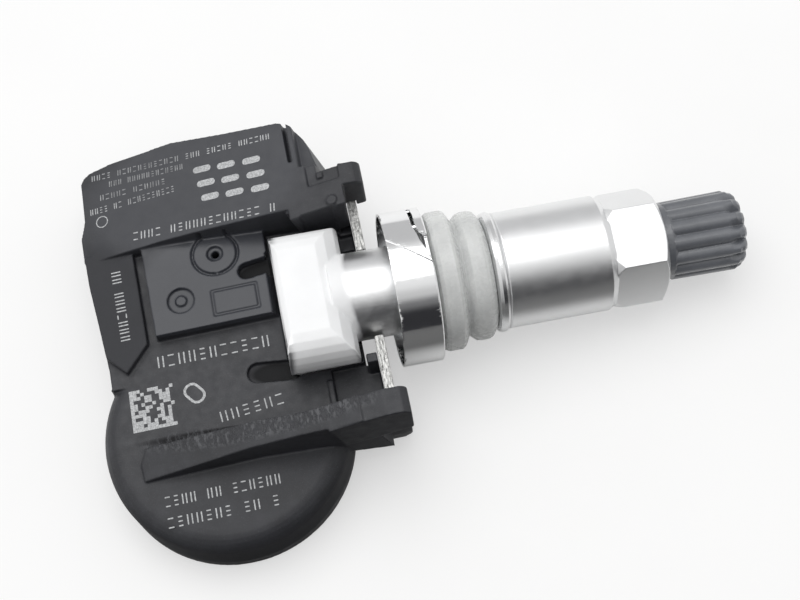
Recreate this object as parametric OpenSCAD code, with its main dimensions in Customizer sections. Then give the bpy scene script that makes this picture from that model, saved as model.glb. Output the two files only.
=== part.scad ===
// Tyre pressure sensor with a clamp-in metal valve.
// The sensor lies on its flat base as it does on a table: Z is up, X runs along the
// valve stem towards the dust cap and Y runs along the plastic housing.
// All sizes are in millimetres.

/* [View] */
// Which piece to draw; "all" shows the whole sensor

/* [Placement] */
// Height of the valve's T-bar pivot above the table
pivot_z = 10.1; // [9:0.05:12]
// Downward slope of the valve stem, in degrees
stem_slope = 3.7; // [0:0.1:12]
// Upward slope of the label block and the lugs, in degrees
label_tilt = 12.5; // [6:0.5:16]
// Upward slope of the long ridge beside the battery lobe, in degrees
ridge_tilt = 15; // [8:0.5:18]

/* [Housing] */
// Height of the battery lobe's flat top above the table
floor_z = 7.6; // [6:0.1:10]
// Height of the moulded plateau beside the T-bar
plateau_z = 9.3; // [8:0.1:11]
// Height of the raised strip along the left edge
strip_z = 8.5; // [7:0.1:10]
// Height of the label face above the pivot, square to the face
label_n = 3.8; // [3:0.1:6]
// Radius of the round battery lobe
lobe_r = 14.35; // [12:0.05:16]
// Radius of the rounded upper edge of the lobe
lobe_edge_r = 2.2; // [0.5:0.1:3]
// Wall thickness of the housing
wall = 1.2; // [0.8:0.1:2]
// Thickness of the base cover
cover_t = 1.4; // [1:0.1:2]
// Half width of the open gap under the valve neck
gap_half = 7.5; // [6.5:0.1:8]

/* [Lugs and plate] */
// How far the lugs reach past the T-bar pivot, level with the table
lug_reach = 8.45; // [8:0.05:8.8]
// Depth of the lugs, square to the label face
lug_depth = 6; // [4:0.1:7]
// Distance from the T-bar pivot to the steel plate
plate_x = 6.05; // [5.6:0.05:6.4]
// Thickness of the steel plate
plate_t = 1.1; // [0.8:0.05:1.3]
// Height of the plate's upper edge above the table
plate_top_z = 10.45; // [9:0.05:11]
// Width of the plate's open slot for the neck
plate_slot_w = 11.1; // [10.8:0.1:12]

/* [Valve stem] */
// Length of the T-bar across the housing
tbar_len = 16.6; // [14:0.1:17]
// Height of the T-bar's flat face above its pivot
tbar_top = 4.8; // [4:0.1:5.2]
// Diameter of the neck between the T-bar and the seal
neck_d = 10.4; // [8:0.1:10.6]
// Diameter of the stem where the sleeve nut runs
thread_d = 9; // [8:0.1:9.4]
// Thread pitch of the sleeve nut
nut_pitch = 1; // [0.75:0.05:1.25]
// Diameter of the cap thread at the stem's mouth
cap_thread_d = 7.7; // [7:0.1:8]
// Thread pitch of the cap
cap_pitch = 0.794; // [0.7:0.001:1]
// Position of the stem's mouth along the stem
mouth_x = 49.1; // [48:0.1:51]
// Diameter of the air bore
air_bore_d = 3; // [2:0.1:3.2]
// Diameter of the chamber that takes the valve core
core_bore_d = 5.1; // [4.8:0.1:5.4]
// Length of the valve core from its inner spring to its outer end
core_len = 16.1; // [14:0.1:18]

/* [Clip, seal and washer] */
// Where the polished clip ring begins along the stem
clip_x = 8.95; // [8.8:0.05:9.4]
// Length of the clip ring
clip_len = 4.75; // [4:0.05:4.75]
// Outer diameter of the clip ring
clip_d = 18.1; // [16:0.1:18.3]
// Sheet thickness of the clip ring
clip_t = 0.35; // [0.25:0.05:0.5]
// Diameter of the grommet's wide flange
flange_d = 16.5; // [15:0.1:17]
// Diameter of the groove that seats on the wheel rim
groove_d = 14.2; // [12:0.1:14.4]
// Diameter of the grommet's second ridge
ridge_d = 15.3; // [14.6:0.1:16]
// Outer diameter of the thrust washer
washer_d = 14.2; // [13.5:0.1:15]

/* [Sleeve nut and cap] */
// Where the sleeve nut begins along the stem
nut_x = 21.8; // [21:0.1:22]
// Length of the round sleeve
sleeve_len = 12.8; // [12:0.1:15]
// Diameter of the round sleeve
sleeve_d = 13.7; // [13:0.1:15]
// Length of the hexagon
hex_len = 6.3; // [4:0.1:7]
// Width across the flats of the hexagon
hex_af = 12; // [11:0.5:13]
// Visible length of the dust cap
cap_len = 9.8; // [9.6:0.05:12]
// Diameter of the dust cap at its base
cap_d = 9.3; // [9:0.1:10]
// Wall of the dust cap round its thread, between the ribs
cap_wall = 0.3; // [0.25:0.05:0.6]
// Number of grip ribs on the dust cap
cap_ribs = 14; // [8:1:20]

/* [Hidden] */
$fn = 64;
// The rest position of the plan's middle, so that the origin is under the middle of the part
center_x = 11.968;
center_y = -0.475;
lobe_x = -12.7;
lobe_y = -11.5;
cell_x = lobe_x - 0.8;
// How far the valve tips each way, in degrees, and the space that it needs
valve_swing = 8;
neck_gap = 0.35;
roof_z = floor_z - wall;
cover_z = cover_t;
hex_x = nut_x + sleeve_len;
cap_x = hex_x + hex_len + 0.15;
cap_end = cap_x + cap_len;
clip_end = clip_x + clip_len;
grommet_x = clip_end + 0.05;
washer_t = 1.3;
washer_x = nut_x - washer_t;
collar_r = 6.6;
collar_x = clip_end - clip_t - 1.35;
tbar_half = 4.1;
hex_turn = 43.5;
// Room for the T-bar in its cradle
seat_half = tbar_len / 2 + 0.15;
// How far each end of the T-bar stands out above its cradle
tbar_flare = 1.25;
tbar_round = 4.65;
core_top = mouth_x - 1.8;
core_x = core_top - core_len;
// Where the stem steps down inside the hexagon, and where its cap thread begins
step_x = hex_x - 1.4;
cap_thread_x = mouth_x - 7.65;
seat_x = core_x + 6.3;
pin_r = 0.6;
pin_gap = 0.05;
cap_bore_r = cap_thread_d / 2 + 0.06;
gasket_x = mouth_x + 0.05;
gasket_t = 0.85;
board_z = 1.8;
board_t = 0.8;
board_top = board_z + board_t;
cell_z = board_top + 0.3;
cell_h = 3.2;
black = [0.13, 0.13, 0.14];
steel = [0.72, 0.73, 0.75];
aluminium = [0.83, 0.84, 0.86];
rubber_grey = [0.72, 0.75, 0.74];
brass = [0.80, 0.66, 0.35];

// Housing placement: plan coordinates start under the T-bar pivot
module in_base() {
    translate([-center_x, -center_y, 0]) children();
}

// Placement square to a sloping upper face that turns about the pivot
module in_slope(angle) {
    translate([-center_x, -center_y, pivot_z]) rotate([0, -angle, 0]) children();
}

// Placement along the valve stem, with X along its axis
module in_stem() {
    translate([-center_x, -center_y, pivot_z]) rotate([0, stem_slope, 0]) children();
}

// A disc or tube whose axis is X
module rod(x, len, r) {
    translate([x, 0, 0]) rotate([0, 90, 0]) cylinder(h = len, r = r);
}

// A turned shape whose axis is X; points are pairs of radius and position
module turned(points) {
    rotate([0, 90, 0]) rotate_extrude() polygon(points);
}

// Outline of the lower body seen from above
module body_plan() {
    difference() {
        union() {
            translate([lobe_x, lobe_y]) circle(r = lobe_r, $fn = 96);
            polygon([
                [-26.2, 16], [-26.4, 12.3], [-26.2, 8.9], [-25.6, 3.4], [-25.1, -1.9],
                [-25, -6.8], [-25, lobe_y], [-12.6, -14.7], [7.3, -14.7], [lug_reach - 0.2, -14.4],
                [lug_reach - 0.1, -12.4], [plate_x + plate_t + 0.1, -12.6], [plate_x - 0.1, -12.2],
                [plate_x - 0.1, 14.2], [3.9, 16.2], [3.4, 18.4], [2.8, 20.2], [1.9, 21.6], [0.4, 22.6],
                [-6.6, 23.7], [-13.1, 24.7], [-21.2, 24.7], [-24.9, 24.1], [-25.5, 20]
            ]);
        }
        translate([4.4, -gap_half]) square([10, 2 * gap_half]);
    }
}

// Outline of the label block on its sloping face
module label_plan() {
    polygon([
        [-26.2, 12.2], [-26.3, 15.6], [-25.6, 17.9], [-25.5, 23.2], [-25.1, 23.9],
        [-24.2, 24.4], [-21.2, 24.8], [-13.1, 24.9], [-6.6, 23.8], [0.4, 22.8],
        [1.5, 22.4], [2.3, 21.6], [3, 20.4], [3.5, 18.9], [3.8, 17.4], [4.1, 16],
        [4.1, 9.5], [3.9, 10.3], [0.6, 10.9], [-6, 11.4], [-11, 11.8], [-16.2, 12.1]
    ]);
}

// Outline of the long ridge beside the battery lobe
module ridge_plan() {
    polygon([
        [-22.3, -16.3], [-22.5, -14.2], [-21.7, -12.4], [-15.9, -12.7], [-8.6, -13.1],
        [-1.7, -13.9], [4.2, -13.8], [4.2, -17], [-3.2, -16.4], [-9.1, -16.1]
    ]);
}

// Side view of a lug, drawn along the label face
module lug_side() {
    polygon([
        [0, label_n], [lug_reach - 1.65, label_n], [lug_reach + 0.15, label_n - 0.5],
        [lug_reach + 0.6, label_n - 1.1], [lug_reach + 1, label_n - 2.4],
        [lug_reach + 1, label_n - lug_depth], [0, label_n - lug_depth]
    ]);
}

// A lug that spans from y0 to y1
module lug(y0, y1) {
    translate([0, y1, 0]) rotate([90, 0, 0]) linear_extrude(y1 - y0) lug_side();
}

// The battery lobe with its rounded upper edge
module lobe() {
    edge = [for (a = [0:15:90]) [lobe_r - lobe_edge_r + lobe_edge_r * cos(a),
                                 floor_z - lobe_edge_r + lobe_edge_r * sin(a)]];
    translate([lobe_x, lobe_y, 0]) rotate_extrude($fn = 96)
        polygon(concat([[0, cover_z], [lobe_r, cover_z]], edge, [[0, floor_z]]));
}

// Space inside the housing for the electronics, as an outline
module cavity_plan() {
    translate([lobe_x, lobe_y]) circle(r = lobe_r - wall, $fn = 96);
    polygon([
        [-24.9, 14], [-24.3, 3.4], [-23.8, -1.9], [-24.2, -7], [-12.6, -11.9],
        [-6, -8], [-6, 12.4], [0.7, 12.4], [0.7, 20.6], [-6.6, 22.3], [-13.1, 23.3],
        [-21.2, 23.3], [-23.8, 22.8], [-24.2, 20]
    ]);
}

// A groove with round ends between two points
module groove(x0, y0, x1, y1, w, z, depth) {
    hull() for (p = [[x0, y0], [x1, y1]])
        translate([p[0], p[1], z - depth]) cylinder(h = depth + 1, d = w, $fn = 24);
}

// Moulded details on the plateau: a ring, a round pad and a plain frame
module plateau_marks() {
    translate([-10.6, 9.6, plateau_z - 0.35]) difference() {
        cylinder(h = 2, r = 2.9);
        translate([0, 0, -1]) cylinder(h = 4, r = 2.55);
    }
    translate([-10.6, 9.6, plateau_z - 0.4]) cylinder(h = 2, r = 0.95, $fn = 32);
    translate([-15.4, 4.4, plateau_z - 0.45]) difference() {
        cylinder(h = 2, r = 1.6, $fn = 48);
        translate([0, 0, -1]) cylinder(h = 1.3, r = 0.65, $fn = 24);
    }
    translate([-9, 3.2, plateau_z - 0.2]) difference() {
        translate([-2.8, -1.7, 0]) cube([5.6, 3.4, 1]);
        translate([-2.5, -1.4, -1]) cube([5, 2.8, 3]);
    }
}

module housing_solid() {
    in_base() {
        lobe();
        translate([-0.25, -11.9, cover_z]) cube([0.63, 3.1, floor_z + 0.3 - cover_z]);
        translate([0, 0, cover_z]) linear_extrude(floor_z - cover_z) difference() {
            body_plan();
            translate([lobe_x - 30, lobe_y - 50]) square([30, 50]);
            translate([lobe_x, -64]) square([lobe_r, 50]);
            translate([lobe_x - 30, lobe_y - 1]) square([20.2, 8]);
        }
        translate([0, 0, cover_z]) linear_extrude(plateau_z - cover_z)
            polygon([[-18.9, 0.5], [-4.5, 0.5], [-4.5, 12], [-19.3, 12.6]]);
        translate([0, 0, cover_z]) linear_extrude(strip_z - cover_z)
            polygon([[-26.3, 13], [-26.1, 8.9], [-25.5, 3.4], [-25.1, -0.6],
                     [-22.9, -3], [-20.1, 0.2], [-20.5, 13]]);
    }
    intersection() {
        union() {
            in_slope(label_tilt) translate([0, 0, -14]) linear_extrude(14 + label_n) label_plan();
            in_slope(ridge_tilt) translate([0, 0, -14]) linear_extrude(14 + label_n) ridge_plan();
        }
        in_base() translate([-50, -50, cover_z + 3]) cube([100, 100, 40]);
    }
    // Short wall between the lower end of the T-bar and the plate
    in_base() translate([4.3, -8.6, cover_z]) cube([plate_x - 4.4, 1.15, pivot_z + 0.3 - cover_z]);
    // Wall that carries the lower lug
    in_base() translate([1, -14.7, cover_z]) cube([lug_reach - 1.25, 1, pivot_z + 0.4 - cover_z]);
    in_slope(label_tilt) {
        lug(9.5, 14.8);
        lug(-17, -13.9);
        translate([5.4, 10.3, label_n - 1]) cylinder(h = 1.3, r = 0.65, $fn = 32);
        translate([-0.45, 10.6, -4]) cube([0.6, 0.6, 4 + label_n - 0.4]);
    }
}

module housing_cuts() {
    in_base() {
        // Cradle for the T-bar and the space around it
        translate([0, seat_half - tbar_flare, pivot_z]) rotate([90, 0, 0])
            cylinder(h = 2 * (seat_half - tbar_flare), r = 5);
        translate([-4.7, -seat_half, pivot_z - 2]) cube([9.4, 2 * seat_half, 20]);
        translate([4.4, -gap_half, 0]) cube([10, 2 * gap_half, 30]);
        // Way out for the neck, at rest and tipped both ways
        for (t = [-valve_swing, 0, valve_swing]) translate([0, 0, pivot_z])
            rotate([0, 90 + stem_slope + t, 0]) cylinder(h = 9, r = neck_d / 2 + neck_gap);
        translate([0.4, -13.7, 6.8]) cube([12, 5.1, 20]);
        translate([0.4, -8.6, 6.8]) cube([4.3, 1.2, 20]);
        translate([plate_x - 0.1, -8.7, 6.8]) cube([6, 1.3, 20]);
        translate([0.4, 7.4, 6.8]) cube([4, 2.3, 20]);
        translate([4, 7.4, 6.8]) cube([8, 1.9, 20]);
        // Slots that hold the steel plate
        translate([plate_x - 0.08, 9.2, 8]) cube([plate_t + 0.16, 5, plate_top_z - 7.92]);
        translate([plate_x - 0.08, -16.1, 8]) cube([plate_t + 0.16, 3, plate_top_z - 7.92]);
        translate([plate_x - 0.08, 12.5, 8]) cube([plate_t + 0.16, 1.7, 5.6]);
        translate([plate_x - 0.08, -16.1, 8]) cube([plate_t + 0.16, 2, 5.6]);
        translate([plate_x - 0.08, -12.6, 1.9]) cube([plate_t + 0.16, 6, 8]);
        // The upper lug is narrower beyond the plate, and both lugs end upright
        translate([plate_x - 0.08, 8, 8]) cube([10, 4, 20]);
        translate([lug_reach, -30, -1]) cube([10, 60, 40]);
        // Grooves that run out from the T-bar
        groove(-7.2, 6.5, -4, 6.9, 2.1, plateau_z, 1.3);
        groove(-8, -5.9, -4, -6.4, 2.5, floor_z, 0.7);
        plateau_marks();
        // Space for the electronics
        difference() {
            translate([0, 0, -1]) linear_extrude(roof_z + 1) cavity_plan();
            translate([-3.9, -7.7, 3.3]) cube([6, 16.7, 10]);
        }
        // Pressure port
        translate([-10.6, 9.6, 0]) cylinder(h = 20, r = 0.45, $fn = 24);
    }
    in_slope(label_tilt) {
        // Groove along the end of the label face, and the lower corner beyond it
        translate([1.05, 17, label_n - 1.2]) cube([0.55, 9, 3]);
        translate([2.2, 16, label_n - 1.5]) cube([6, 10, 3]);
        // Shallow step on the upper lug round a small moulded block
        difference() {
            translate([2.9, 13, label_n - 0.4]) cube([lug_reach - 4.55, 3, 2]);
            translate([4.1, 13.75, label_n - 2]) cube([0.75, 0.8, 1.9]);
        }
    }
}

module housing_shell() {
    color(black) difference() {
        housing_solid();
        housing_cuts();
    }
}

module base_cover() {
    color([0.2, 0.2, 0.21]) in_base() {
        linear_extrude(cover_z) difference() {
            body_plan();
            translate([lobe_x - 30, lobe_y - 50]) square([30, 50]);
            translate([lobe_x, -64]) square([lobe_r, 50]);
        }
        translate([lobe_x, lobe_y, 0]) cylinder(h = cover_z, r = lobe_r, $fn = 96);
        // Posts that carry the circuit board
        for (p = [[-20, -16], [-6.5, -18], [-21, 17], [-10, 18], [-19, 2]])
            translate([p[0], p[1], 0]) cylinder(h = board_z, r = 0.9, $fn = 32);
    }
}

// Steel plate with an open slot for the neck and end tabs inside the lugs
module retaining_plate() {
    neck_z = pivot_z - (plate_x + plate_t / 2) * sin(stem_slope);
    slot_z = neck_z - 1.15;
    color(steel) in_base() translate([plate_x, 0, 0]) rotate([90, 0, 90])
        linear_extrude(plate_t) difference() {
            polygon([
                [-15.9, 9.7], [-15.9, 13.4], [-14.2, 13.4], [-14.2, plate_top_z],
                [12.6, plate_top_z], [12.6, 13.4], [14, 13.4], [14, 9.7],
                [12, 7], [9, 2], [-9, 2], [-12, 7]
            ]);
            translate([0, slot_z]) circle(d = plate_slot_w);
            translate([-plate_slot_w / 2, slot_z]) square([plate_slot_w, 20]);
        }
}

module circuit_board() {
    color([0.1, 0.35, 0.2]) in_base() translate([0, 0, board_z]) linear_extrude(board_t) {
        translate([lobe_x, lobe_y]) circle(r = 12.1);
        polygon([[-23.6, 14], [-23.6, 3], [-23.2, -8], [-6.4, -8], [-6.4, 12.8],
                 [0.3, 12.8], [0.3, 20], [-6.6, 21.6], [-23.4, 22.2]]);
    }
}

// Coin cell: a can with a smaller negative button underneath
module battery() {
    color(steel) in_base() translate([cell_x, lobe_y, cell_z]) rotate_extrude($fn = 96)
        polygon([[0, 0], [8.6, 0], [8.9, 0.5], [9.6, 0.5], [10, 0.9], [10, cell_h], [0, cell_h]]);
}

module battery_tab_positive() {
    color(steel) in_base() {
        translate([cell_x - 2, lobe_y - 2, cell_z + cell_h]) cube([4, 14.9, 0.2]);
        translate([cell_x - 2, lobe_y + 12.7, board_top]) cube([4, 0.2, cell_z + cell_h + 0.2 - board_top]);
        translate([cell_x - 2, lobe_y + 12.7, board_top]) cube([4, 2, 0.2]);
    }
}

module battery_tab_negative() {
    color(steel) in_base() translate([cell_x - 2.5, lobe_y - 6, board_top])
        cube([5, 12, cell_z - board_top]);
}

module sensor_chip() {
    color([0.08, 0.08, 0.09]) in_base() translate([-10.6, 9.6, board_top]) difference() {
        translate([-3, -3, 0]) cube([6, 6, 2.2]);
        translate([0, 0, 1]) cylinder(h = 2, r = 0.6, $fn = 24);
    }
}

module pressure_gasket() {
    color([0.35, 0.36, 0.38]) in_base() translate([-10.6, 9.6, board_top + 2.2])
        rotate_extrude($fn = 48) polygon([[0.7, 0], [2, 0], [2, roof_z - board_top - 2.2],
                                          [0.7, roof_z - board_top - 2.2]]);
}

module lf_coil() {
    color([0.15, 0.15, 0.16]) in_base() translate([-20, 17, board_top]) {
        translate([-3.2, -1.7, 0]) cube([1.3, 3.4, 2.6]);
        translate([1.9, -1.7, 0]) cube([1.3, 3.4, 2.6]);
        translate([-1.95, 0, 1.35]) rotate([0, 90, 0]) cylinder(h = 3.9, r = 1.2, $fn = 32);
    }
}

module crystal() {
    color(steel) in_base() translate([-18.6, 8, board_top]) cube([3.2, 2.5, 0.8]);
}

// Flat strip aerial that stands on the board on two feet
module antenna_loop() {
    color(brass) in_base() translate([-8, 15.5, board_top]) difference() {
        cube([7, 3.5, 3]);
        translate([0.4, -1, -1]) cube([6.2, 6, 3.6]);
    }
}

// Ridges of a thread between two positions, as a list of profile points
function thread(x0, x1, r, depth, pitch) = [
    for (i = [0:floor((x1 - x0) / pitch) - 1]) each [
        [r - depth, x0 + i * pitch], [r, x0 + (i + 0.4) * pitch],
        [r, x0 + (i + 0.6) * pitch], [r - depth, x0 + (i + 1) * pitch]]
];

module valve_stem() {
    thread_r = thread_d / 2;
    mouth_r = cap_thread_d / 2;
    low_r = mouth_r - 0.5;
    end = tbar_len / 2;
    // Half of the T-bar's rounded outline as seen along the stem
    dome = [[end - tbar_flare, -tbar_round - 1], [end - tbar_flare, -1.4],
            [end - 0.75, -1], [end - 0.25, -0.4],
            [end, 0.5], [end, 1.5], [end - 0.15, 2.4], [end - 0.55, 3.3], [end - 1.15, 4],
            [end - 1.95, 4.5], [end - 3, tbar_top]];
    profile = concat(
        [[0, 2], [neck_d / 2, 2], [neck_d / 2, collar_x - 1], [collar_r - 0.4, collar_x],
         [collar_r, collar_x + 0.4], [collar_r, clip_end - clip_t], [thread_r, clip_end - clip_t]],
        thread(nut_x + 1, step_x - 1, thread_r, 0.5, nut_pitch),
        [[thread_r - 0.5, step_x - 0.6], [low_r, step_x], [low_r, cap_thread_x]],
        thread(cap_thread_x + 0.1, mouth_x - 0.5, mouth_r, 0.45, cap_pitch),
        [[low_r - 0.1, mouth_x], [0, mouth_x]]);
    color(aluminium) in_stem() difference() {
        union() {
            turned(profile);
            intersection() {
                translate([0, end, 0]) rotate([90, 0, 0]) linear_extrude(tbar_len)
                    polygon(concat(
                        [for (a = [-150:10:-30]) [tbar_round * cos(a), tbar_round * sin(a)]],
                        [[tbar_half, 1.4], [3.6, 3], [2.4, 4.3], [1.2, tbar_top],
                         [-3.2, tbar_top], [-3.8, 4.4], [-4, 3.9]]));
                rotate([90, 0, 90]) linear_extrude(2 * tbar_round + 2, center = true)
                    polygon(concat(dome, [for (i = [len(dome) - 1:-1:0]) [-dome[i][0], dome[i][1]]]));
            }
        }
        rod(-10, 60, air_bore_d / 2);
        rod(core_x, 30, core_bore_d / 2);
    }
}

// Split ring of thin polished sheet with a flange against the seal
module spring_clip() {
    r = clip_d / 2;
    color(steel) in_stem() difference() {
        turned([[r - clip_t, clip_x], [r, clip_x], [r, clip_end - 0.25], [r - 0.25, clip_end],
                [thread_d / 2 + 0.05, clip_end], [thread_d / 2 + 0.05, clip_end - clip_t],
                [r - clip_t - 0.35, clip_end - clip_t], [r - clip_t, clip_end - clip_t - 0.35]]);
        // Slanting split across the top, a notch at its end and a narrow slot beyond it
        translate([clip_x - 0.25, 2.25, r - 1.5]) rotate([0, 0, -38]) cube([clip_len + 1.9, 0.15, 4]);
        translate([0, 0, r - 1.05]) linear_extrude(3) polygon([
            [clip_end + 0.1, -1.75], [clip_end - 0.4, -0.2], [clip_end - 1, 1.36], [clip_end - 1.5, 3.9],
            [clip_end - 1.05, 3.9], [clip_end - 0.9, 2.7], [clip_end - 0.5, 2.25], [clip_end + 0.1, 2.2]]);
        translate([clip_end - 1.5, 3.8, r - 3.8]) cube([0.45, 3.4, 4]);
    }
}

module grommet() {
    f = flange_d / 2;
    g = groove_d / 2;
    d = ridge_d / 2;
    b = thread_d / 2 + 0.03;
    x = grommet_x;
    e = washer_x - 0.05;
    color(rubber_grey) in_stem() turned([
        [b, x], [f - 1.1, x], [f - 0.25, x + 0.4], [f, x + 0.85], [f, x + 2.3], [f - 0.2, x + 2.7],
        [f - 0.7, x + 3], [g, x + 3.2], [g, x + 3.6], [d - 0.45, x + 3.85], [d - 0.1, x + 4.25],
        [d, x + 4.9], [d, x + 5.6], [d - 0.2, x + 6.1], [d - 0.6, e - 0.3], [d - 1.1, e], [b, e]]);
}

module thrust_washer() {
    r = washer_d / 2;
    b = thread_d / 2 + 0.05;
    color(steel) in_stem() turned([
        [b, washer_x], [r - 0.6, washer_x], [r - 0.15, washer_x + 0.25], [r, washer_x + 0.6],
        [r, nut_x - 0.3], [r - 0.15, nut_x - 0.05], [b, nut_x - 0.05]]);
}

module sleeve_nut() {
    r = sleeve_d / 2;
    c = hex_af / sqrt(3);
    b = thread_d / 2 + 0.05;
    n = cap_thread_d / 2 - 0.3;
    color(aluminium) in_stem() difference() {
        union() {
            turned([[0, nut_x], [r - 0.25, nut_x], [r, nut_x + 0.25], [r, hex_x - 0.7],
                    [r - 0.5, hex_x], [0, hex_x]]);
            intersection() {
                rotate([hex_turn, 0, 0]) translate([hex_x - 0.5, 0, 0]) rotate([0, 90, 0])
                    cylinder(h = hex_len + 0.5, r = c, $fn = 6);
                turned([[0, hex_x - 1], [c - 0.7, hex_x - 0.5], [c + 0.2, hex_x + 1.2],
                        [c + 0.2, hex_x + hex_len - 0.8], [c - 1.1, hex_x + hex_len], [0, hex_x + hex_len]]);
            }
        }
        rod(nut_x - 1, hex_x - nut_x + 1, b);
        rod(hex_x - 1, 20, n);
    }
}

module valve_cap() {
    r = cap_d / 2;
    sleeve_r = cap_bore_r + cap_wall;
    rib_r = 0.96 * PI * r / cap_ribs;
    color([0.12, 0.13, 0.14]) in_stem() difference() {
        union() {
            turned([[0, cap_x], [sleeve_r, cap_x], [sleeve_r, mouth_x - 0.2],
                    [sleeve_r - 0.5, cap_end - 0.6], [sleeve_r - 0.9, cap_end], [0, cap_end]]);
            turned([[0, cap_x], [r - 0.15, cap_x], [r - 0.1, cap_x + 1], [r - 0.35, cap_x + 1.3],
                    [0, cap_x + 1.3]]);
            intersection() {
                for (i = [0:cap_ribs - 1]) rotate([i * 360 / cap_ribs + 7, 0, 0])
                    translate([cap_x + 1, 0, r - rib_r]) rotate([0, 89.2, 0])
                        cylinder(h = cap_len, r = rib_r, $fn = 24);
                turned([[0, cap_x], [r + 1, cap_x], [r + 1, cap_end - 2.5], [r - 0.05, cap_end - 0.9],
                        [r - 0.2, cap_end - 0.45], [r - 0.55, cap_end - 0.1],
                        [r - 0.9, cap_end], [0, cap_end]]);
            }
        }
        rod(cap_x - 1, mouth_x - 0.4 - cap_x + 1, cap_bore_r);
        rod(cap_x, gasket_x + gasket_t - cap_x, cap_bore_r - 0.35);
    }
}

module cap_gasket() {
    color([0.25, 0.25, 0.26]) in_stem() turned([
        [1, gasket_x], [cap_bore_r - 0.45, gasket_x], [cap_bore_r - 0.45, gasket_x + gasket_t - 0.02],
        [1, gasket_x + gasket_t - 0.02]]);
}

module core_barrel() {
    r = core_bore_d / 2 - 0.03;
    b = pin_r + pin_gap;
    color(brass) in_stem() difference() {
        turned([[0, seat_x], [1.5, seat_x], [1.5, core_top - 5], [r - 0.5, core_top - 5],
                [r, core_top - 4.6], [r, core_top - 1.8], [1.7, core_top - 1.8], [1.7, core_top],
                [0, core_top]]);
        rod(0, 60, b);
    }
}

module core_gasket() {
    r = core_bore_d / 2 - 0.02;
    color([0.7, 0.2, 0.15]) in_stem() turned([
        [1.52, core_top - 6.8], [2.1, core_top - 6.8], [r, core_top - 5.8],
        [r, core_top - 5.05], [1.52, core_top - 5.05]]);
}

module core_pin() {
    color(brass) in_stem() {
        rod(core_x + 1.6, mouth_x - 0.35 - core_x - 1.6, pin_r);
        rod(seat_x - 1.9, 0.5, 1.95);
    }
}

module core_poppet() {
    color([0.2, 0.2, 0.2]) in_stem() difference() {
        rod(seat_x - 1.4, 1.35, 1.55);
        rod(seat_x - 2, 4, pin_r);
    }
}

// Coil spring that pushes the poppet outwards onto its seat
coil_x0 = core_x + 0.16;
coil_x1 = seat_x - 2.06;
coil_r = 1.75;
coil_wire_r = 0.15;
coil_turns = 4;
coil_steps = 80;
coil_sides = 8;
function coil_point(i, j) =
    let (a = 360 * coil_turns * i / coil_steps, b = 360 * j / coil_sides,
         q = coil_r + coil_wire_r * cos(b))
    [coil_x0 + (coil_x1 - coil_x0) * i / coil_steps + coil_wire_r * sin(b), q * cos(a), q * sin(a)];

module core_spring() {
    points = [for (i = [0:coil_steps]) for (j = [0:coil_sides - 1]) coil_point(i, j)];
    sides = [for (i = [0:coil_steps - 1]) for (j = [0:coil_sides - 1])
        [i * coil_sides + j, i * coil_sides + (j + 1) % coil_sides,
         (i + 1) * coil_sides + (j + 1) % coil_sides, (i + 1) * coil_sides + j]];
    caps = [[for (j = [coil_sides - 1:-1:0]) j],
            [for (j = [0:coil_sides - 1]) coil_steps * coil_sides + j]];
    color(steel) in_stem() polyhedron(points, concat(sides, caps));
}

housing_shell();
base_cover();
retaining_plate();
circuit_board();
battery();
battery_tab_positive();
battery_tab_negative();
sensor_chip();
pressure_gasket();
lf_coil();
crystal();
antenna_loop();
valve_stem();
spring_clip();
grommet();
thrust_washer();
sleeve_nut();
valve_cap();
cap_gasket();
core_barrel();
core_gasket();
core_pin();
core_poppet();
core_spring();
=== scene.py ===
import math
import random

import bmesh
import bpy
import numpy as np
from mathutils import Matrix, Vector


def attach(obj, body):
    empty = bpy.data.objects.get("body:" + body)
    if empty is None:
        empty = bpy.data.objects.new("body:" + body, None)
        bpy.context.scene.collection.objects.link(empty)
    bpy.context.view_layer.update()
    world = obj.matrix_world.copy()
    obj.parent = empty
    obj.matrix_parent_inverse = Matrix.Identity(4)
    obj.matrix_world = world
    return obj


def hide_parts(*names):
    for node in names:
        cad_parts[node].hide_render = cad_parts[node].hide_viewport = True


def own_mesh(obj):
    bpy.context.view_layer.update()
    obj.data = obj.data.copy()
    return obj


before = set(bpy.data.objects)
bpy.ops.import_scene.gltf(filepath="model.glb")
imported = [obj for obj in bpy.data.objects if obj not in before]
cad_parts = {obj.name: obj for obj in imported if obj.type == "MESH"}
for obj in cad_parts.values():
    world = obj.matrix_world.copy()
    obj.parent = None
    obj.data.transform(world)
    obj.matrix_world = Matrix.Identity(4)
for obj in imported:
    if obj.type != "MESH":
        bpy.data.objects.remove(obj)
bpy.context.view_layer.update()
MM = 0.001
scene = bpy.context.scene
scene.view_settings.view_transform = "Standard"

# Where the valve's T-bar turns, and the slopes of the stem, the label face and the ridge
PIVOT = Vector((-11.968, 0.475, 10.1)) * MM
STEM_SLOPE = math.radians(3.7)
STEM_AXIS = Vector((math.cos(STEM_SLOPE), 0, -math.sin(STEM_SLOPE)))
STEM_UP = Vector((math.sin(STEM_SLOPE), 0, math.cos(STEM_SLOPE)))
LABEL_TILT = math.radians(12.5)
RIDGE_TILT = math.radians(15)
# Heights of the floor and the left strip, and of the label face above the pivot, in mm
FLOOR_Z = 7.6
STRIP_Z = 8.5
LABEL_N = 3.8
# Outer radius and sheet of the clip, radius of the nut's sleeve, ribs of the cap
CLIP_R = 9.05
CLIP_T = 0.35
NUT_R = 6.85
CAP_RIBS = 14
CAP_TURN = math.radians(7)
# How far a laser mark stands above its face, and how far it reaches below, in mm
MARK_PROUD = 0.012
MARK_DEEP = 0.02
# The photograph's width and fitted focal length in pixels, and the camera's sensor in mm
PHOTO_WIDTH = 800
FOCAL_LENGTH = 1400
SENSOR = 36


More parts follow.
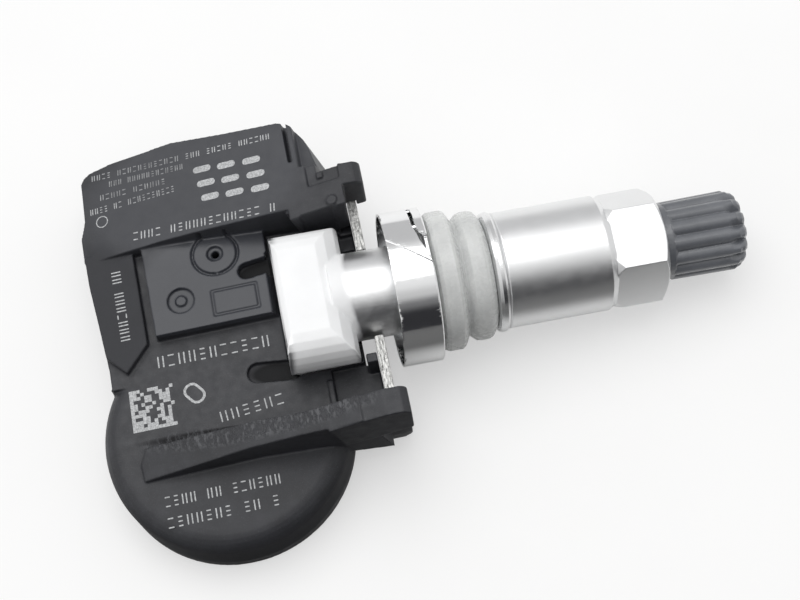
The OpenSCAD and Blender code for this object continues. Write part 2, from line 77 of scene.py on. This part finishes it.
# Camera
def add_camera():
    """The camera fitted to the photograph."""
    right = Vector((0.97881, -0.19344, -0.06716))
    up = Vector((0.20399, 0.89251, 0.40227))
    forward = Vector((0.01787, 0.40744, -0.91306))
    place = Vector((-5.022, -67.255, 158.1)) * MM
    data = bpy.data.cameras.new("camera")
    data.sensor_width = SENSOR
    data.lens = SENSOR * FOCAL_LENGTH / PHOTO_WIDTH
    data.clip_start = 0.01
    cam = bpy.data.objects.new("camera", data)
    rot = Matrix((right, up, -forward)).transposed().to_4x4()
    cam.matrix_world = Matrix.Translation(place) @ rot
    scene.collection.objects.link(cam)
    scene.camera = cam


add_camera()


# Materials
class Nodes:
    """Short names for the shader nodes of one material."""

    def __init__(self, name):
        self.mat = bpy.data.materials.new(name)
        self.mat.use_nodes = True
        self.tree = self.mat.node_tree
        self.tree.nodes.clear()
        self.out = self.new("ShaderNodeOutputMaterial")
        self.bsdf = self.new("ShaderNodeBsdfPrincipled")
        self.link(self.bsdf.outputs[0], self.out.inputs[0])
        self.coord = self.new("ShaderNodeTexCoord").outputs["Object"]

    def new(self, kind, **values):
        node = self.tree.nodes.new(kind)
        for key, value in values.items():
            setattr(node, key, value)
        return node

    def link(self, a, b):
        self.tree.links.new(a, b)

    def fill(self, socket, value):
        """Links a socket, or sets its constant."""
        if isinstance(value, bpy.types.NodeSocket):
            self.link(value, socket)
        elif isinstance(value, tuple):
            socket.default_value = (*value, 1)
        else:
            socket.default_value = value

    def noise(self, scale, detail=3.0, rough=0.5, stretch=None, seed=0.0):
        node = self.new("ShaderNodeTexNoise")
        node.inputs["Scale"].default_value = scale
        node.inputs["Detail"].default_value = detail
        node.inputs["Roughness"].default_value = rough
        mapping = self.new("ShaderNodeMapping")
        mapping.inputs["Location"].default_value = (seed, seed * 0.7, -seed)
        if stretch:
            mapping.inputs["Scale"].default_value = stretch
        self.link(self.coord, mapping.inputs[0])
        self.link(mapping.outputs[0], node.inputs["Vector"])
        return node.outputs["Fac"]

    def patch(self, centre, radii, turn=(0, 0, 0)):
        """1 at a place on the part, falling to 0 at the rim of an ellipsoid round it."""
        place = Vector(centre) * MM + Vector((PIVOT.x, PIVOT.y, 0))
        mapping = self.new("ShaderNodeMapping", vector_type="TEXTURE")
        mapping.inputs["Location"].default_value = place
        mapping.inputs["Rotation"].default_value = turn
        mapping.inputs["Scale"].default_value = Vector(radii) * MM
        ball = self.new("ShaderNodeTexGradient", gradient_type="SPHERICAL")
        self.link(self.coord, mapping.inputs[0])
        self.link(mapping.outputs[0], ball.inputs[0])
        return ball.outputs["Fac"]

    def times(self, a, b, operation="MULTIPLY"):
        node = self.new("ShaderNodeMath", operation=operation, use_clamp=True)
        self.fill(node.inputs[0], a)
        self.fill(node.inputs[1], b)
        return node.outputs[0]

    def ramp(self, fac, stops):
        node = self.new("ShaderNodeValToRGB")
        while len(node.color_ramp.elements) < len(stops):
            node.color_ramp.elements.new(0.5)
        for element, (pos, value) in zip(node.color_ramp.elements, stops):
            element.position = pos
            tone = value if isinstance(value, tuple) else (value, value, value)
            element.color = (*tone, 1)
        self.link(fac, node.inputs[0])
        return node.outputs[0]

    def mix(self, fac, a, b):
        node = self.new("ShaderNodeMix", data_type="RGBA")
        self.fill(node.inputs[0], fac)
        self.fill(node.inputs[6], a)
        self.fill(node.inputs[7], b)
        return node.outputs[2]

    def colour(self, source):
        self.link(source, self.bsdf.inputs["Base Color"])

    def roughness(self, source):
        self.link(source, self.bsdf.inputs["Roughness"])

    def bump(self, height, strength, distance, under=None):
        node = self.new("ShaderNodeBump")
        node.inputs["Strength"].default_value = strength
        node.inputs["Distance"].default_value = distance
        self.link(height, node.inputs["Height"])
        if under is not None:
            self.link(under, node.inputs["Normal"])
        return node.outputs[0]

    def normal(self, source):
        self.link(source, self.bsdf.inputs["Normal"])


def grey(value):
    """A neutral tone."""
    return (value, value, value)


def plastic(name, dark, light, rough, scuff=0.5, coat=0.0):
    """Moulded plastic: fine spark-eroded grain, a slow change of tone and dull scuffs."""
    n = Nodes(name)
    n.bsdf.inputs["Coat Weight"].default_value = coat
    n.bsdf.inputs["Coat Roughness"].default_value = 0.22
    slow = n.noise(120, 3, seed=1)
    base = n.mix(n.ramp(slow, [(0.35, 0.0), (0.7, 1.0)]), dark, light)
    marks = n.ramp(n.noise(700, 6, 0.7, seed=5), [(0.5, 0.0), (0.72, scuff)])
    dust = n.ramp(n.noise(9000, 2, seed=9), [(0.6, 0.0), (0.8, 0.35)])
    scuffed = n.mix(marks, base, tuple(min(1, c * 2.2) for c in light))
    n.colour(n.mix(dust, scuffed, tuple(min(1, c * 1.6) for c in light)))
    n.roughness(n.ramp(n.noise(900, 4, seed=3), [(0.3, rough - 0.07), (0.7, rough + 0.08)]))
    fine = n.bump(n.noise(5200, 2, 0.6), 0.35, 0.00002)
    n.normal(n.bump(n.noise(350, 3, seed=7), 0.2, 0.00006, fine))
    return n.mat


def housing_plastic():
    """Black moulded housing: matt skin, a smoother panel, a scraped ridge, and painted light
    and shade: a lighter panel and label face, a darker left strip and near-black grooves.
    """
    n = Nodes("housing_plastic")
    slow = n.ramp(n.noise(110, 3, seed=1), [(0.35, 0.0), (0.7, 1.0)])
    base = n.mix(slow, (0.0165, 0.0172, 0.0205), (0.025, 0.026, 0.031))
    dust = n.ramp(n.noise(7000, 3, 0.6, seed=9), [(0.56, 0.0), (0.78, 0.55)])
    base = n.mix(dust, base, (0.075, 0.078, 0.088))
    haze = n.ramp(n.noise(420, 5, 0.65, seed=12), [(0.46, 0.0), (0.7, 0.5)])
    base = n.mix(haze, base, (0.036, 0.0375, 0.044))

    # Raised panel, left strip, low parts and label face, each with its own polish; the lighter
    # panel is a painted reflection, the lighter label face is painted light and the darker
    # left strip is painted shade
    panel_gloss_and_painted_sheen = n.ramp(n.patch((-10.5, 4.6, 9.3), (12.5, 10, 1.2)), [(0.02, 0.0), (0.22, 1.0)])
    base = n.mix(n.times(panel_gloss_and_painted_sheen, 0.6), base, (0.044, 0.0475, 0.058))
    strip_matt_and_painted_shade = n.ramp(n.patch((-24.2, 5, 8.5), (5.2, 11, 1.2)), [(0.02, 0.0), (0.2, 1.0)])
    base = n.mix(n.times(strip_matt_and_painted_shade, 0.7), base, (0.028, 0.029, 0.0335))
    low = n.ramp(n.patch((-9, -24, 4), (34, 18.5, 5.5)), [(0.0, 0.0), (0.2, 1.0)])
    label_painted_light = n.ramp(n.patch((-12, 18, 12), (19, 10, 7)), [(0.0, 0.0), (0.25, 1.0)])
    base = n.mix(n.times(label_painted_light, 0.75), base, (0.052, 0.0545, 0.063))

    # Painted shade: the grooves beside the T-bar and the seam behind the ridge are painted
    # near-black
    shade = []
    for centre, radii, turn in (((-5.9, -6.2, 6.9), (3.6, 1.5, 0.7), -7),
                                ((-5.6, 6.7, 8.0), (3.4, 1.3, 0.75), 7),
                                ((-12, -12.35, 8.0), (12, 0.75, 1.6), -4)):
        area = n.patch(centre, radii, (0, 0, math.radians(turn)))
        painted_shade_mask = n.ramp(area, [(0.0, 0.0), (0.3, 1.0)])
        base = n.mix(n.times(painted_shade_mask, 0.85), base, (0.005, 0.005, 0.0055))
        shade.append(painted_shade_mask)

    # Scraped strip along the ridge
    ridge = n.patch((-8.6, -13.3, 11.2), (15.5, 2.3, 3.2), (0, -RIDGE_TILT, math.radians(-5)))
    scraped = n.ramp(ridge, [(0.0, 0.0), (0.25, 1.0)])
    tear = n.noise(1.0, 4, 0.7, stretch=(2300, 900, 1500), seed=31)
    flakes = n.times(n.ramp(tear, [(0.44, 0.0), (0.58, 1.0)]), scraped)
    n.colour(n.mix(n.times(flakes, 0.8), base, (0.085, 0.087, 0.094)))

    rough = n.ramp(n.noise(900, 4, seed=3), [(0.3, 0.44), (0.7, 0.58)])
    rough = n.mix(panel_gloss_and_painted_sheen, rough, grey(0.31))
    rough = n.mix(low, rough, grey(0.56))
    rough = n.mix(strip_matt_and_painted_shade, rough, grey(0.72))
    # The painted-shade masks also make the grooves and seam rougher
    for painted_shade_mask in shade:
        rough = n.mix(painted_shade_mask, rough, grey(0.9))
    n.roughness(rough)
    fine = n.bump(n.noise(5200, 2, 0.6), 0.4, 0.00002)
    wave = n.bump(n.noise(350, 3, seed=7), 0.2, 0.00006, fine)
    n.normal(n.bump(flakes, 0.9, 0.00009, wave))
    return n.mat


def metal(name, tone, rough, spread=0.05, grain=6000, grain_depth=0.00001, turned=None,
          lines=0.25, stain=0.1, matt=None):
    """Bare metal: fine grain or turning lines, cloudy polish and a few dull stains.

    turned stretches the turning lines, and matt is a blasted patch (centre, radii).
    """
    n = Nodes(name)
    n.bsdf.inputs["Metallic"].default_value = 1.0
    cloud = n.ramp(n.noise(260, 4, seed=2), [(0.35, 0.0), (0.75, stain)])
    n.colour(n.mix(cloud, tone, tuple(c * 0.62 for c in tone)))
    polish = n.ramp(n.noise(800, 4, seed=4),
                    [(0.3, max(0.02, rough - spread)), (0.7, rough + spread)])
    if matt:
        area = n.ramp(n.patch(*matt), [(0.0, 0.0), (0.1, 1.0)])
        polish = n.mix(area, polish, grey(0.72))
        n.link(n.ramp(area, [(0.0, 1.0), (1.0, 0.35)]), n.bsdf.inputs["Metallic"])
    n.roughness(polish)
    fine = n.bump(n.noise(grain, 2, 0.6), 0.3, grain_depth)
    if turned:
        fine = n.bump(n.noise(1.0, 3, 0.6, stretch=turned, seed=6), lines, 0.00001, fine)
    n.normal(fine)
    return n.mat


def rubber(name, dark, light, rough, soft=0.0):
    """Rubber: slightly blotchy, with mould haze; soft lets some light into pale rubber."""
    n = Nodes(name)
    n.colour(n.mix(n.ramp(n.noise(300, 3), [(0.3, 0.0), (0.7, 1.0)]), dark, light))
    n.roughness(n.ramp(n.noise(1500, 3, seed=2), [(0.3, rough - 0.06), (0.7, rough + 0.08)]))
    n.normal(n.bump(n.noise(3500, 3, 0.6), 0.25, 0.00002))
    if soft:
        n.bsdf.inputs["Subsurface Weight"].default_value = soft
        n.bsdf.inputs["Subsurface Radius"].default_value = (1.0, 1.0, 0.95)
        n.bsdf.inputs["Subsurface Scale"].default_value = 0.0015
    return n.mat


def sheared_steel():
    """Drawn steel plate whose cut top edge is torn and pitted."""
    n = Nodes("plate_steel")
    n.bsdf.inputs["Metallic"].default_value = 0.75
    torn = n.noise(2600, 5, 0.75, stretch=(1.6, 0.35, 1.0))
    # So wide a ball that only the height counts
    edge = n.ramp(n.patch((0, 0, 12.3), (1000, 1000, 2.4)), [(0.03, 0.0), (0.10, 1.0)])
    pits = n.ramp(torn, [(0.36, (0.10, 0.10, 0.095)), (0.46, (0.52, 0.52, 0.51)),
                         (0.58, (0.82, 0.82, 0.80))])
    drawn = n.noise(1.0, 3, 0.6, stretch=(900, 120, 5200), seed=4)
    face = n.ramp(drawn, [(0.35, (0.42, 0.42, 0.415)), (0.65, (0.60, 0.60, 0.59))])
    n.colour(n.mix(edge, face, pits))
    n.roughness(n.mix(edge, n.ramp(drawn, [(0.3, 0.38), (0.7, 0.5)]),
                      n.ramp(torn, [(0.3, 0.75), (0.7, 0.42)])))
    n.normal(n.bump(n.times(torn, edge), 0.7, 0.00012, n.bump(drawn, 0.2, 0.00001)))
    return n.mat


def laser_mark():
    """Foamed pale laser mark, a little patchy, and worn over the label's small rows."""
    n = Nodes("laser_mark")
    ink = n.mix(n.ramp(n.noise(5200, 3, 0.7), [(0.35, 0.0), (0.65, 1.0)]),
                (0.30, 0.305, 0.31), (0.60, 0.61, 0.62))
    faded = n.ramp(n.patch((-20, 21.5, 14), (11.5, 6, 7)), [(0.0, 0.0), (0.3, 1.0)])
    worn = n.ramp(n.noise(900, 4, 0.7, seed=8), [(0.35, 0.25), (0.65, 0.85)])
    n.colour(n.mix(n.times(faded, worn), ink, (0.10, 0.10, 0.105)))
    n.bsdf.inputs["Roughness"].default_value = 0.75
    n.normal(n.bump(n.noise(9000, 2), 0.3, 0.00001))
    return n.mat


def paint(material, nodes):
    """Gives CAD nodes one material."""
    for node in nodes:
        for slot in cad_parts[node].material_slots:
            slot.material = material


paint(housing_plastic(), ["housing_shell"])
paint(plastic("cover_plastic", (0.05, 0.05, 0.052), (0.08, 0.08, 0.083), 0.5), ["base_cover"])
paint(sheared_steel(), ["retaining_plate"])
paint(metal("stem_aluminium", (0.91, 0.915, 0.92), 0.36, grain=4200, grain_depth=0.00002,
            matt=((0.2, 0, 10.5), (5.0, 14, 8))), ["valve_stem"])
paint(metal("clip_steel", (0.92, 0.925, 0.93), 0.10, spread=0.03, grain_depth=0.000003),
      ["spring_clip"])
paint(rubber("grommet_rubber", (0.56, 0.57, 0.565), (0.66, 0.67, 0.66), 0.26, soft=0.4),
      ["grommet"])
paint(metal("washer_steel", (0.86, 0.865, 0.87), 0.22, spread=0.04, turned=(60, 3000, 3000)),
      ["thrust_washer"])
paint(metal("nut_aluminium", (0.88, 0.885, 0.89), 0.34, spread=0.025, grain=7000,
            grain_depth=0.000004, turned=(5000, 120, 120), lines=0.08, stain=0.05),
      ["sleeve_nut"])
paint(plastic("cap_plastic", (0.100, 0.106, 0.118), (0.136, 0.143, 0.158), 0.34,
              scuff=0.12, coat=0.9), ["valve_cap"])
paint(metal("core_brass", (0.72, 0.53, 0.25), 0.25), ["core_barrel", "core_pin"])
paint(metal("aerial_brass", (0.74, 0.55, 0.27), 0.3), ["antenna_loop"])
paint(metal("cell_steel", (0.66, 0.66, 0.65), 0.28, turned=(200, 3000, 200)),
      ["battery", "crystal", "core_spring"])
paint(metal("tab_nickel", (0.7, 0.68, 0.63), 0.3),
      ["battery_tab_positive", "battery_tab_negative"])
paint(rubber("seal_rubber", (0.03, 0.03, 0.03), (0.05, 0.05, 0.05), 0.5),
      ["pressure_gasket", "cap_gasket", "core_poppet"])
paint(rubber("core_seal", (0.3, 0.05, 0.03), (0.42, 0.08, 0.05), 0.45), ["core_gasket"])
paint(plastic("chip_plastic", (0.02, 0.02, 0.02), (0.03, 0.03, 0.03), 0.5), ["sensor_chip"])
paint(plastic("ferrite", (0.05, 0.05, 0.055), (0.08, 0.08, 0.085), 0.55), ["lf_coil"])
paint(plastic("board_laminate", (0.02, 0.13, 0.06), (0.03, 0.17, 0.08), 0.3, scuff=0.1),
      ["circuit_board"])


def stem_parts(points):
    """Distance along the stem, radius and turn of each point, in millimetres and radians."""
    rel = (points - np.array(PIVOT)) / MM
    x = rel @ np.array(STEM_AXIS)
    up = rel @ np.array(STEM_UP)
    side = rel[:, 1]
    return x, np.hypot(side, up), np.arctan2(side, up)


def scale_radius(points, x, factor):
    """Moves points towards or away from the stem's axis."""
    centre = np.array(PIVOT) + np.outer(x * MM, np.array(STEM_AXIS))
    return centre + (points - centre) * factor[:, None]


def tear_plate(points):
    """Ragged broken face along the top edge of the stamped plate."""
    rng = np.random.default_rng(11)
    waves = [(rng.uniform(1.5, 9), rng.uniform(-6, 6), rng.uniform(-9, 9),
              rng.uniform(0, 6.28)) for _ in range(14)]
    p = points / MM
    rough = sum(np.sin(a * p[:, 1] + b * p[:, 0] + c * p[:, 2] + d)
                for a, b, c, d in waves) / len(waves)
    top = np.clip((p[:, 2] - 9.9) / 0.5, 0, 1)
    out = points.copy()
    out[:, 2] -= (np.abs(rough) * 0.16 + 0.02) * top * MM
    out[:, 0] += rough * 0.035 * top * MM
    return out


def roll_clip(points):
    """Brings the clip's strip to a true round, without the flats of the CAD mesh."""
    x, r, _ = stem_parts(points)
    factor = np.ones(len(x))
    for wall in (CLIP_R - 0.01, CLIP_R - CLIP_T):
        near = np.abs(r - wall) < 0.09
        factor[near] = (wall / r)[near]
    return scale_radius(points, x, factor)


def roll_nut(points):
    """Brings the sleeve of the nut to a true round, up to its rounded ends."""
    x, r, _ = stem_parts(points)
    along = np.clip((x - 22.2) / 0.3, 0, 1) * np.clip((33.8 - x) / 0.3, 0, 1)
    near = along * (np.abs(r - NUT_R) < 0.12)
    return scale_radius(points, x, 1 + near * ((NUT_R - 0.01) / np.maximum(r, 1) - 1))


def scallop_cap(points):
    """Deepens the hollows between the ribs over the closed end of the dust cap."""
    x, r, turn = stem_parts(points)
    hollow = (0.5 - 0.5 * np.cos(CAP_RIBS * (turn + CAP_TURN))) ** 2
    end = np.clip((x - 48.7) / 0.9, 0, 1) * np.clip((r - 2.9) / 0.9, 0, 1)
    return scale_radius(points, x, 1 - 0.5 * hollow * end / np.maximum(r, 1))


def mould_grommet(points):
    """Flash lines, a deeper neck and slight waves of a moulded rubber ring."""
    x, r, turn = stem_parts(points)
    outer = r > 5.6
    wave = 0.01 * np.sin(turn * 5 + x) + 0.006 * np.sin(turn * 13 - 2 * x)
    flash = (0.10 * np.exp(-((x - 16.15) / 0.12) ** 2)
             + 0.05 * np.exp(-((x - 19.5) / 0.08) ** 2))
    neck = 0.22 * np.exp(-((x - 17.25) / 0.22) ** 2)
    push = wave - 0.03 + flash * 0.5 - neck
    return scale_radius(points, x, 1 + np.where(outer, push / np.maximum(r, 1), 0))


def evaluated(piece):
    """Puts the mesh that the modifiers make in the place of the old one."""
    old = piece.data
    graph = bpy.context.evaluated_depsgraph_get()
    graph.update()
    mesh = bpy.data.meshes.new_from_object(piece.evaluated_get(graph))
    piece.modifiers.clear()
    piece.data = mesh
    bpy.data.meshes.remove(old)


def soften(node, name, body, voxel, limit, passes=3, shape=None, snap=True):
    """Rebuilds a CAD node's skin finely, rounds its edges and lets shape() work it over.

    voxel is in millimetres, and limit is the most triangles that the skin may keep.
    """
    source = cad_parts[node]
    material = source.material_slots[0].material
    mesh = source.data.copy()
    mesh.name = name
    piece = bpy.data.objects.new(name, mesh)
    scene.collection.objects.link(piece)
    skin = piece.modifiers.new("skin", "REMESH")
    skin.mode = "VOXEL"
    skin.voxel_size = voxel * MM * 1
    if snap:
        close = piece.modifiers.new("close", "SHRINKWRAP")
        close.target = source
        close.wrap_method = "NEAREST_SURFACEPOINT"
    ease = piece.modifiers.new("ease", "SMOOTH")
    ease.factor = 0.5
    ease.iterations = passes
    evaluated(piece)
    if shape:
        points = np.empty(len(piece.data.vertices) * 3, dtype=np.float32)
        piece.data.vertices.foreach_get("co", points)
        points = shape(points.reshape(-1, 3)).astype(np.float32)
        piece.data.vertices.foreach_set("co", points.ravel())
        piece.data.update()
    faces = sum(len(p.vertices) - 2 for p in piece.data.polygons)
    if faces > limit:
        thin = piece.modifiers.new("thin", "DECIMATE")
        thin.ratio = limit / faces
        evaluated(piece)
    piece.data.name = name
    piece.data.materials.clear()
    piece.data.materials.append(material)
    piece.data.polygons.foreach_set("use_smooth", [True] * len(piece.data.polygons))
    piece.data.update()
    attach(piece, body)
    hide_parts(node)
    return piece


soften("housing_shell", "housing_moulding", "housing", 0.14, 190000,
       passes=4)
soften("base_cover", "cover_moulding", "housing", 0.2, 40000)
soften("retaining_plate", "torn_plate", "housing", 0.09, 60000,
       passes=1, shape=tear_plate)
soften("valve_stem", "threaded_stem", "valve", 0.1, 125000, snap=False)
soften("spring_clip", "split_clip", "valve", 0.052, 110000,
       passes=2, shape=roll_clip)
seal = soften("grommet", "rubber_seal", "valve", 0.085, 90000,
              passes=2, shape=mould_grommet)
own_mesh(seal)
soften("sleeve_nut", "long_nut", "nut", 0.075, 125000,
       passes=1, shape=roll_nut)
soften("valve_cap", "ribbed_cap", "cap", 0.07, 115000,
       passes=2, shape=scallop_cap)
soften("pressure_gasket", "port_seal", "housing", 0.08, 10000, passes=2)
soften("cap_gasket", "cap_seal_ring", "cap_seal", 0.08, 10000, passes=2)
soften("core_gasket", "core_seal_ring", "valve", 0.06, 10000, passes=2)
soften("core_poppet", "poppet_rubber", "pin", 0.06, 10000, passes=2)
spring = soften("core_spring", "closing_spring", "valve", 0.05, 20000,
                passes=1)
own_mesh(spring)


# Pale marks on the housing: plain strokes, frames and dots only
def on_slope(tilt):
    """Places points (u, v, n) on the sloping label face."""
    turn = Matrix.Rotation(-tilt, 3, "Y")
    return lambda u, v, n: PIVOT + turn @ Vector((u, v, LABEL_N + n)) * MM


def on_level(z):
    """Places points (u, v, n) on a level face."""
    return lambda u, v, n: Vector((PIVOT.x + u * MM, PIVOT.y + v * MM, (z + n) * MM))


LABEL = on_slope(LABEL_TILT)
LOBE = on_level(FLOOR_Z)
STRIP = on_level(STRIP_Z)
marks = bmesh.new()


def mark(place, outline):
    """A thin raised shape on the surface, from points (u, v) in millimetres."""
    top = [marks.verts.new(place(u, v, MARK_PROUD)) for u, v in outline]
    low = [marks.verts.new(place(u, v, -MARK_DEEP)) for u, v in outline]
    marks.faces.new(top)
    for i in range(len(outline)):
        j = (i + 1) % len(outline)
        marks.faces.new((top[j], top[i], low[i], low[j]))


def ring(place, outer, inner):
    """A thin raised frame between two outlines with the same number of points."""
    count = len(outer)
    loops = [[marks.verts.new(place(u, v, h)) for u, v in line]
             for line, h in ((outer, MARK_PROUD), (inner, MARK_PROUD),
                             (inner, -MARK_DEEP), (outer, -MARK_DEEP))]
    for a, b in ((0, 1), (1, 2), (3, 0)):
        for i in range(count):
            j = (i + 1) % count
            marks.faces.new((loops[a][i], loops[a][j], loops[b][j], loops[b][i]))


def block(cx, cy, w, h, turn, r):
    """Outline of a rectangle with rounded corners, turned about its middle."""
    r = min(r, w / 2, h / 2)
    points = []
    for qx, qy, a0 in ((1, 1, 0), (-1, 1, 90), (-1, -1, 180), (1, -1, 270)):
        for a in (0, 30, 60, 90):
            t = math.radians(a0 + a)
            points.append((qx * (w / 2 - r) + r * math.cos(t),
                           qy * (h / 2 - r) + r * math.sin(t)))
    c, s = math.cos(turn), math.sin(turn)
    return [(cx + x * c - y * s, cy + x * s + y * c) for x, y in points]


def figure(place, cx, cy, w, h, turn, line, kind):
    """A small plain figure of thin strokes: two bars, two posts or three bars."""
    c, s = math.cos(turn), math.sin(turn)
    rows = (-h / 2 + line / 2, h / 2 - line / 2)

    def stroke(dx, dy, sw, sh):
        mid = (cx + dx * c - dy * s, cy + dx * s + dy * c)
        mark(place, block(*mid, sw, sh, turn, line * 0.45))

    if kind == 0:
        for dy in rows:
            stroke(0, dy, w, line)
    elif kind == 1:
        for dx in (-w / 2 + line / 2, w / 2 - line / 2):
            stroke(dx, 0, line, h)
    else:
        for dy in (rows[0], 0, rows[1]):
            stroke(0, dy, w * 0.8, line)


def row(place, start, end, height, words, line):
    """A row of small figures between two points; words lists how many each group has."""
    a, b = Vector(start), Vector(end)
    turn = math.atan2(b.y - a.y, b.x - a.x)
    cells = sum(words) + (len(words) - 1)
    pitch = (b - a).length / cells
    at = 0.5
    for count in words:
        for _ in range(count):
            p = a + (b - a) * (at / cells)
            kind = random.choice((0, 1, 1, 2))
            figure(place, p.x, p.y, pitch * 0.6, height, turn, line, kind)
            at += 1
        at += 1


# Label face: nine broad bars, and rows of small figures
random.seed(5)
for cx, cy in ((-9.4, 17.9), (-6.3, 17.4), (-3.1, 16.9)):
    for step in (-1, 0, 1):
        mark(LABEL, block(cx - step * 0.25, cy + step * 2.0, 2.3, 0.85, math.radians(-5), 0.4))
row(LABEL, (-24.1, 23.5), (-0.5, 21.3), 0.75, [4, 12, 3, 5, 6], 0.12)
row(LABEL, (-21.9, 22.0), (-11.9, 21.1), 0.75, [3, 12], 0.12)
row(LABEL, (-23.3, 20.5), (-14.4, 19.9), 0.75, [5, 6], 0.12)
row(LABEL, (-24.8, 18.9), (-13.4, 18.5), 0.8, [4, 2, 10], 0.12)
row(LABEL, (-19.7, 13.9), (-1.3, 11.8), 1.05, [4, 12, 1], 0.15)
ring(LABEL, block(-23.3, 17.2, 1.6, 1.6, 0, 0.8), block(-23.3, 17.2, 1.36, 1.36, 0, 0.68))
# Left strip and battery lobe
row(STRIP, (-22.75, 10.4), (-22.55, 0.9), 1.15, [2, 7], 0.15)
row(LOBE, (-19.6, -2.1), (-5.9, -2.2), 1.45, [11], 0.17)
row(LOBE, (-13.3, -10.4), (-5.4, -9.6), 1.3, [6], 0.16)
row(LOBE, (-20.8, -19.0), (-7.3, -19.0), 1.2, [4, 2, 6], 0.15)
row(LOBE, (-20.8, -21.5), (-7.8, -21.4), 1.2, [7, 2, 1], 0.15)
ring(LOBE, block(-15.6, -6.8, 2.8, 2.0, -0.9, 0.9), block(-15.6, -6.8, 2.2, 1.4, -0.9, 0.65))
# Made-up square of dots, full along two sides
random.seed(7)
for i in range(12):
    for j in range(12):
        if i == 0 or j == 0 or random.random() < 0.5:
            mark(LOBE, block(-22.95 + i * 0.43, -9.95 + j * 0.43, 0.42, 0.42, 0, 0.04))

bmesh.ops.recalc_face_normals(marks, faces=marks.faces[:])
mesh = bpy.data.meshes.new("housing_marks")
marks.to_mesh(mesh)
marks.free()
housing_marks = bpy.data.objects.new("housing_marks", mesh)
scene.collection.objects.link(housing_marks)
mesh.materials.append(laser_mark())
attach(housing_marks, "housing")


# Floor, light and background
def add_floor():
    """Pale paper just under the part."""
    bm = bmesh.new()
    bmesh.ops.create_grid(bm, x_segments=1, y_segments=1, size=3.0)
    data = bpy.data.meshes.new("floor")
    bm.to_mesh(data)
    bm.free()
    floor = bpy.data.objects.new("floor", data)
    floor.location = (0, 0, -0.00002)
    scene.collection.objects.link(floor)
    n = Nodes("floor_paper")
    paper = n.ramp(n.noise(40, 3), [(0.3, (0.90, 0.90, 0.895)), (0.7, (0.925, 0.925, 0.92))])
    path = n.new("ShaderNodeLightPath")
    # Painted shade for reflections and bounced light: they see the near side of the paper
    # nearly black, which the camera sees pale
    near = n.new("ShaderNodeMapRange", interpolation_type="SMOOTHSTEP")
    near.inputs["From Min"].default_value = -0.005
    near.inputs["From Max"].default_value = -0.028
    split = n.new("ShaderNodeSeparateXYZ")
    n.link(n.coord, split.inputs[0])
    n.link(split.outputs["Y"], near.inputs["Value"])
    unseen = n.times(1.0, path.outputs["Is Camera Ray"], "SUBTRACT")
    painted_reflection_shade = n.times(n.times(near.outputs[0], unseen), 0.9)
    n.colour(n.mix(painted_reflection_shade, paper, grey(0.03)))
    n.bsdf.inputs["Roughness"].default_value = 0.9
    # The camera sees the paper as a lit background, with the shadow kept
    white = n.new("ShaderNodeEmission")
    white.inputs["Strength"].default_value = 1.0
    blend = n.new("ShaderNodeMixShader")
    n.link(n.times(path.outputs["Is Camera Ray"], 0.45), blend.inputs[0])
    n.link(n.bsdf.outputs[0], blend.inputs[1])
    n.link(white.outputs[0], blend.inputs[2])
    n.link(blend.outputs[0], n.out.inputs[0])
    data.materials.append(n.mat)


def add_light(name, place, aim, size, watts):
    """A soft rectangular light that faces the point aim."""
    data = bpy.data.lights.new(name, "AREA")
    data.shape = "RECTANGLE"
    data.size, data.size_y = size
    data.energy = watts
    lamp = bpy.data.objects.new(name, data)
    lamp.location = place
    lamp.rotation_euler = (Vector(aim) - Vector(place)).to_track_quat("-Z", "Y").to_euler()
    scene.collection.objects.link(lamp)


def add_world():
    """A pale room, dimmer low down on the near side where the photographer stands."""
    world = bpy.data.worlds.new("studio")
    scene.world = world
    world.use_nodes = True
    tree = world.node_tree
    tree.nodes.clear()
    out = tree.nodes.new("ShaderNodeOutputWorld")
    back = tree.nodes.new("ShaderNodeBackground")
    coord = tree.nodes.new("ShaderNodeTexCoord")
    near_side = ((0.50, (1.0, 1.0, 1.0)), (0.72, (0.69, 0.69, 0.69)),
                 (0.86, (0.21, 0.21, 0.215)), (0.96, (0.037, 0.037, 0.041)))
    far_side = ((0.72, (1.0, 1.0, 1.0)), (0.90, (0.66, 0.66, 0.665)))
    tones = []
    for way, stops in (((0.10, -0.98, 0.15), near_side), ((0.15, 0.96, 0.22), far_side)):
        dot = tree.nodes.new("ShaderNodeVectorMath")
        dot.operation = "DOT_PRODUCT"
        dot.inputs[1].default_value = Vector(way).normalized()
        ramp = tree.nodes.new("ShaderNodeValToRGB")
        ramp.color_ramp.interpolation = "EASE"
        while len(ramp.color_ramp.elements) < len(stops):
            ramp.color_ramp.elements.new(0.5)
        for element, (pos, value) in zip(ramp.color_ramp.elements, stops):
            element.position = pos
            element.color = (*value, 1)
        tree.links.new(coord.outputs["Generated"], dot.inputs[0])
        tree.links.new(dot.outputs["Value"], ramp.inputs[0])
        tones.append(ramp.outputs[0])
    room = tree.nodes.new("ShaderNodeMix")
    room.data_type = "RGBA"
    room.blend_type = "MULTIPLY"
    room.inputs[0].default_value = 1.0
    tree.links.new(tones[0], room.inputs[6])
    tree.links.new(tones[1], room.inputs[7])
    tree.links.new(room.outputs[2], back.inputs[0])
    back.inputs[1].default_value = 0.82
    tree.links.new(back.outputs[0], out.inputs[0])


add_floor()
add_light("softbox", place=(-0.05, 0.09, 0.42), aim=(0, 0, 0), size=(0.36, 0.46), watts=0.85)
add_world()
